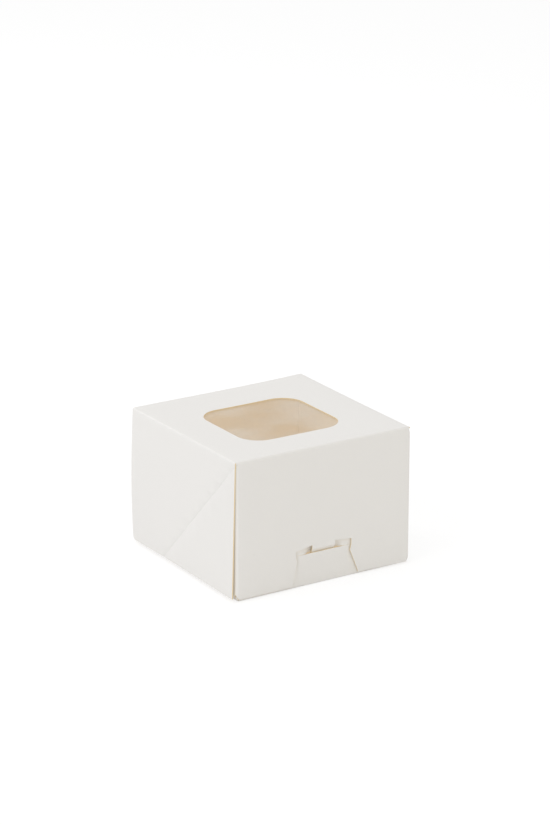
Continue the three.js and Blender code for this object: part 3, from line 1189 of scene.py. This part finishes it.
@dataclass(frozen=True)
class FilmFinish:
    """The window's clear film.

    Args:
        veil: share of light that the film itself sends back.
        veil_swing: factors between which the veil wanders.
        roughness: roughness of its surface.
        specular: strength of its reflection.
        colour: colour of the veil, as sRGB values from 0 to 255.
        ripple_scale: ripples per metre.
        ripple_detail: how finely they are broken up.
        ripple_strength: how strongly they tilt the surface.
        ripple_height: their height.
    """

    veil: float = 0.16
    veil_swing: tuple[float, float] = (0.6, 1.6)
    roughness: float = 0.12
    specular: float = 0.9
    colour: tuple[float, float, float] = (232, 229, 222)
    ripple_scale: float = 38.0
    ripple_detail: float = 1.5
    ripple_strength: float = 0.25
    ripple_height: float = 0.6 * MM

    def make(self) -> bpy.types.Material:
        """Builds the material.

        Returns:
            The material.
        """
        material = bpy.data.materials.new("window_film_clear")
        material.use_nodes = True
        tree = material.node_tree
        shader = tree.nodes["Principled BSDF"]
        shader.inputs["Base Color"].default_value = (*linear(self.colour), 1)
        shader.inputs["Roughness"].default_value = self.roughness
        shader.inputs["Specular IOR Level"].default_value = self.specular
        place = tree.nodes.new("ShaderNodeTexCoord")
        ripple = noise(tree, place.outputs["Object"], self.ripple_detail)
        ripple.inputs["Scale"].default_value = self.ripple_scale
        bump = tree.nodes.new("ShaderNodeBump")
        bump.inputs["Strength"].default_value = self.ripple_strength
        bump.inputs["Distance"].default_value = self.ripple_height
        tree.links.new(ripple.outputs["Fac"], bump.inputs["Height"])
        tree.links.new(bump.outputs["Normal"], shader.inputs["Normal"])
        least, most = (self.veil * factor for factor in self.veil_swing)
        veil = mapped(tree, ripple.outputs["Fac"], given=(0.35, 0.65), wanted=(least, most))
        tree.links.new(veil, shader.inputs["Alpha"])
        return material


@dataclass
class WindowFilm:
    """The film glued under the window, which follows the slack top.

    Args:
        width: width of the film.
        depth: depth of the film.
        radius: radius of its corners.
        thickness: thickness of the film.
        shift: how far its middle lies from the lid's along Y.
        seat: gap that keeps it off the board.
        corner_faces: faces round a corner.
        bench: where it is modelled.
    """

    width: float = 72 * MM
    depth: float = 67 * MM
    radius: float = 3 * MM
    thickness: float = 0.12 * MM
    shift: float = -2 * MM
    seat: float = 0.02 * MM
    corner_faces: int = 6
    bench: Bench = field(default_factory=lambda: Bench("clear_window_film"))

    def build(self, finish: FilmFinish) -> bpy.types.Object:
        """Models the film and lets it follow the top.

        Args:
            finish: the film's finish.

        Returns:
            The finished film.
        """
        top = CARTON.height - CARTON.board - self.seat
        low = Vector((-self.width / 2, self.shift - self.depth / 2, top - self.thickness))
        high = Vector((self.width / 2, self.shift + self.depth / 2, top))
        self.bench.cube(low, high)
        self.bench.bevel(lambda edge: edge_runs(edge, 2), self.radius, self.corner_faces)
        self.bench.grid(low, high, CARTON.grid)
        self.bench.displace(lambda place, vertex: raised_corner(place) + slack_top(place))
        bpy.ops.object.mode_set(mode="OBJECT")
        self.bench.piece.data.materials.append(finish.make())
        return self.bench.finish(Body.COVER, "window_film", Slot.FILM)


@dataclass(frozen=True)
class Lamp:
    """A soft lamp that faces the box.

    Args:
        name: its name.
        place: where it hangs.
        size: side of its square face.
        power: its power in watts.
        colour: its colour.
    """

    name: str
    place: tuple[float, float, float]
    size: float
    power: float
    colour: tuple[float, float, float] = (1, 1, 1)

    def build(self) -> None:
        """Adds the lamp."""
        bpy.ops.object.light_add(type="AREA", location=self.place)
        lamp = bpy.context.object
        lamp.name = self.name
        lamp.data.size = self.size
        lamp.data.energy = self.power
        lamp.data.color = self.colour
        towards = Vector(self.place) - Vector((0, 0, CARTON.height / 2))
        lamp.rotation_euler = towards.to_track_quat("Z", "Y").to_euler()


LAMPS = (
    Lamp("key_left", place=(-1.4, -0.2, 1.0), size=1.2, power=7.3),
    Lamp("top_soft", place=(0.1, 0.5, 1.6), size=1.4, power=3.5),
    Lamp("front_warm", place=(0.6, -1.5, 0.5), size=1.0, power=3.7, colour=(1, 0.93, 0.76)),
    Lamp("fold_light", place=(-0.52, 1.3, 0.86), size=0.3, power=2.8),
)


@dataclass(frozen=True)
class Studio:
    """Floor, light and camera.

    Args:
        azimuth: the camera's azimuth, as the frame counts it, in degrees.
        elevation: the camera's elevation, in degrees.
        distance: from the camera to the box's middle.
        pixels_per_metre: scale of the picture at the box's middle.
        middle_px: where the box's middle lies in the picture.
        picture: width and height of the picture.
        sensor: width of the camera's sensor in millimetres.
        sight: how far the camera sees.
        floor_size: side of the floor.
        floor_seen: brightness of the floor that the camera sees lit.
        floor_glow: brightness that is added to it.
        floor_bounce: brightness of the floor that lights the box.
        world_light: strength of the world that lights the box.
    """

    azimuth: float = -32.29
    elevation: float = 18.59
    distance: float = 20 * CARTON.height
    pixels_per_metre: float = 143.3 / CARTON.height
    middle_px: tuple[float, float] = (269.8, 484.6)
    picture: tuple[float, float] = (550.0, 825.0)
    sensor: float = 36.0
    sight: float = 20.0
    floor_size: float = 12.0
    floor_seen: float = 0.35
    floor_glow: float = 0.72
    floor_bounce: float = 0.9
    world_light: float = 0.62

    def camera(self) -> None:
        """Adds the camera at the photograph's place and angle."""
        turn, rise = math.radians(self.azimuth), math.radians(self.elevation)
        back = Vector((math.sin(turn) * math.cos(rise), -math.cos(turn) * math.cos(rise), math.sin(rise)))
        right = (-back).cross(Vector((0, 0, 1))).normalized()
        up = right.cross(-back)
        place = Vector((0, 0, CARTON.height / 2)) + back * self.distance
        place -= right * (self.middle_px[0] - self.picture[0] / 2) / self.pixels_per_metre
        place += up * (self.middle_px[1] - self.picture[1] / 2) / self.pixels_per_metre
        bpy.ops.object.camera_add(location=place)
        camera = bpy.context.object
        camera.rotation_euler = back.to_track_quat("Z", "Y").to_euler()
        camera.data.sensor_width = self.sensor
        camera.data.lens = self.pixels_per_metre * self.distance / max(self.picture) * self.sensor
        camera.data.clip_end = self.sight
        bpy.context.scene.camera = camera

    def _shown(self, tree: bpy.types.NodeTree) -> bpy.types.NodeSocket:
        """Tells the rays that show the background from those that light the box.

        Args:
            tree: the node tree that needs to know.

        Returns:
            A socket that is 1 for camera, glossy and transmission rays.
        """
        path = tree.nodes.new("ShaderNodeLightPath")
        shown = path.outputs["Is Camera Ray"]
        for other in ("Is Glossy Ray", "Is Transmission Ray"):
            shown = arithmetic(tree, "MAXIMUM", shown, path.outputs[other])
        return shown

    def floor(self) -> None:
        """Adds the pale floor, which keeps a faint shadow of the box."""
        bpy.ops.mesh.primitive_plane_add(size=1, location=(0, 0, 0))
        floor = bpy.context.object
        floor.name = "floor"
        bpy.ops.object.mode_set(mode="EDIT")
        bpy.ops.mesh.select_all(action="SELECT")
        bpy.ops.transform.resize(value=(self.floor_size, self.floor_size, 1))
        bpy.ops.object.mode_set(mode="OBJECT")
        material = bpy.data.materials.new("floor_white")
        material.use_nodes = True
        tree = material.node_tree
        tree.nodes.remove(tree.nodes["Principled BSDF"])
        out = tree.nodes["Material Output"]
        paper = tree.nodes.new("ShaderNodeBsdfDiffuse")
        paper.inputs["Color"].default_value = (self.floor_seen, self.floor_seen, self.floor_seen, 1)
        glow = tree.nodes.new("ShaderNodeEmission")
        glow.inputs["Strength"].default_value = self.floor_glow
        both = tree.nodes.new("ShaderNodeAddShader")
        plain = tree.nodes.new("ShaderNodeBsdfDiffuse")
        plain.inputs["Color"].default_value = (self.floor_bounce, self.floor_bounce, self.floor_bounce, 1)
        seen = tree.nodes.new("ShaderNodeMixShader")
        shown = self._shown(tree)
        tree.links.new(paper.outputs[0], both.inputs[0])
        tree.links.new(glow.outputs[0], both.inputs[1])
        tree.links.new(shown, seen.inputs[0])
        tree.links.new(plain.outputs[0], seen.inputs[1])
        tree.links.new(both.outputs[0], seen.inputs[2])
        tree.links.new(seen.outputs[0], out.inputs["Surface"])
        floor.data.materials.append(material)

    def world(self) -> None:
        """Sets a pale world that lights evenly and looks white to the camera."""
        world = bpy.data.worlds.new("studio")
        bpy.context.scene.world = world
        world.use_nodes = True
        tree = world.node_tree
        ground = tree.nodes["Background"]
        strength = mapped(tree, self._shown(tree), given=(0.0, 1.0), wanted=(self.world_light, 1.0))
        tree.links.new(strength, ground.inputs["Strength"])
        ground.inputs["Color"].default_value = (1, 1, 1, 1)

    def build(self) -> None:
        """Sets up the camera, the floor and the light."""
        bpy.ops.object.select_all(action="DESELECT")
        self.camera()
        self.floor()
        self.world()
        for lamp in LAMPS:
            lamp.build()
        bpy.context.scene.view_settings.view_transform = "Standard"


def main() -> None:
    """Builds the pieces of the box in order."""
    logging.basicConfig(level=logging.INFO, format="%(name)s %(message)s")
    Studio().build()
    finishes = BoardFinishes()
    LidBoard().build(finishes)
    TrayBoard().build(finishes)
    HingeCrease().build(finishes)
    WindowFilm().build(FilmFinish())


if __name__ == "__main__":
    main()
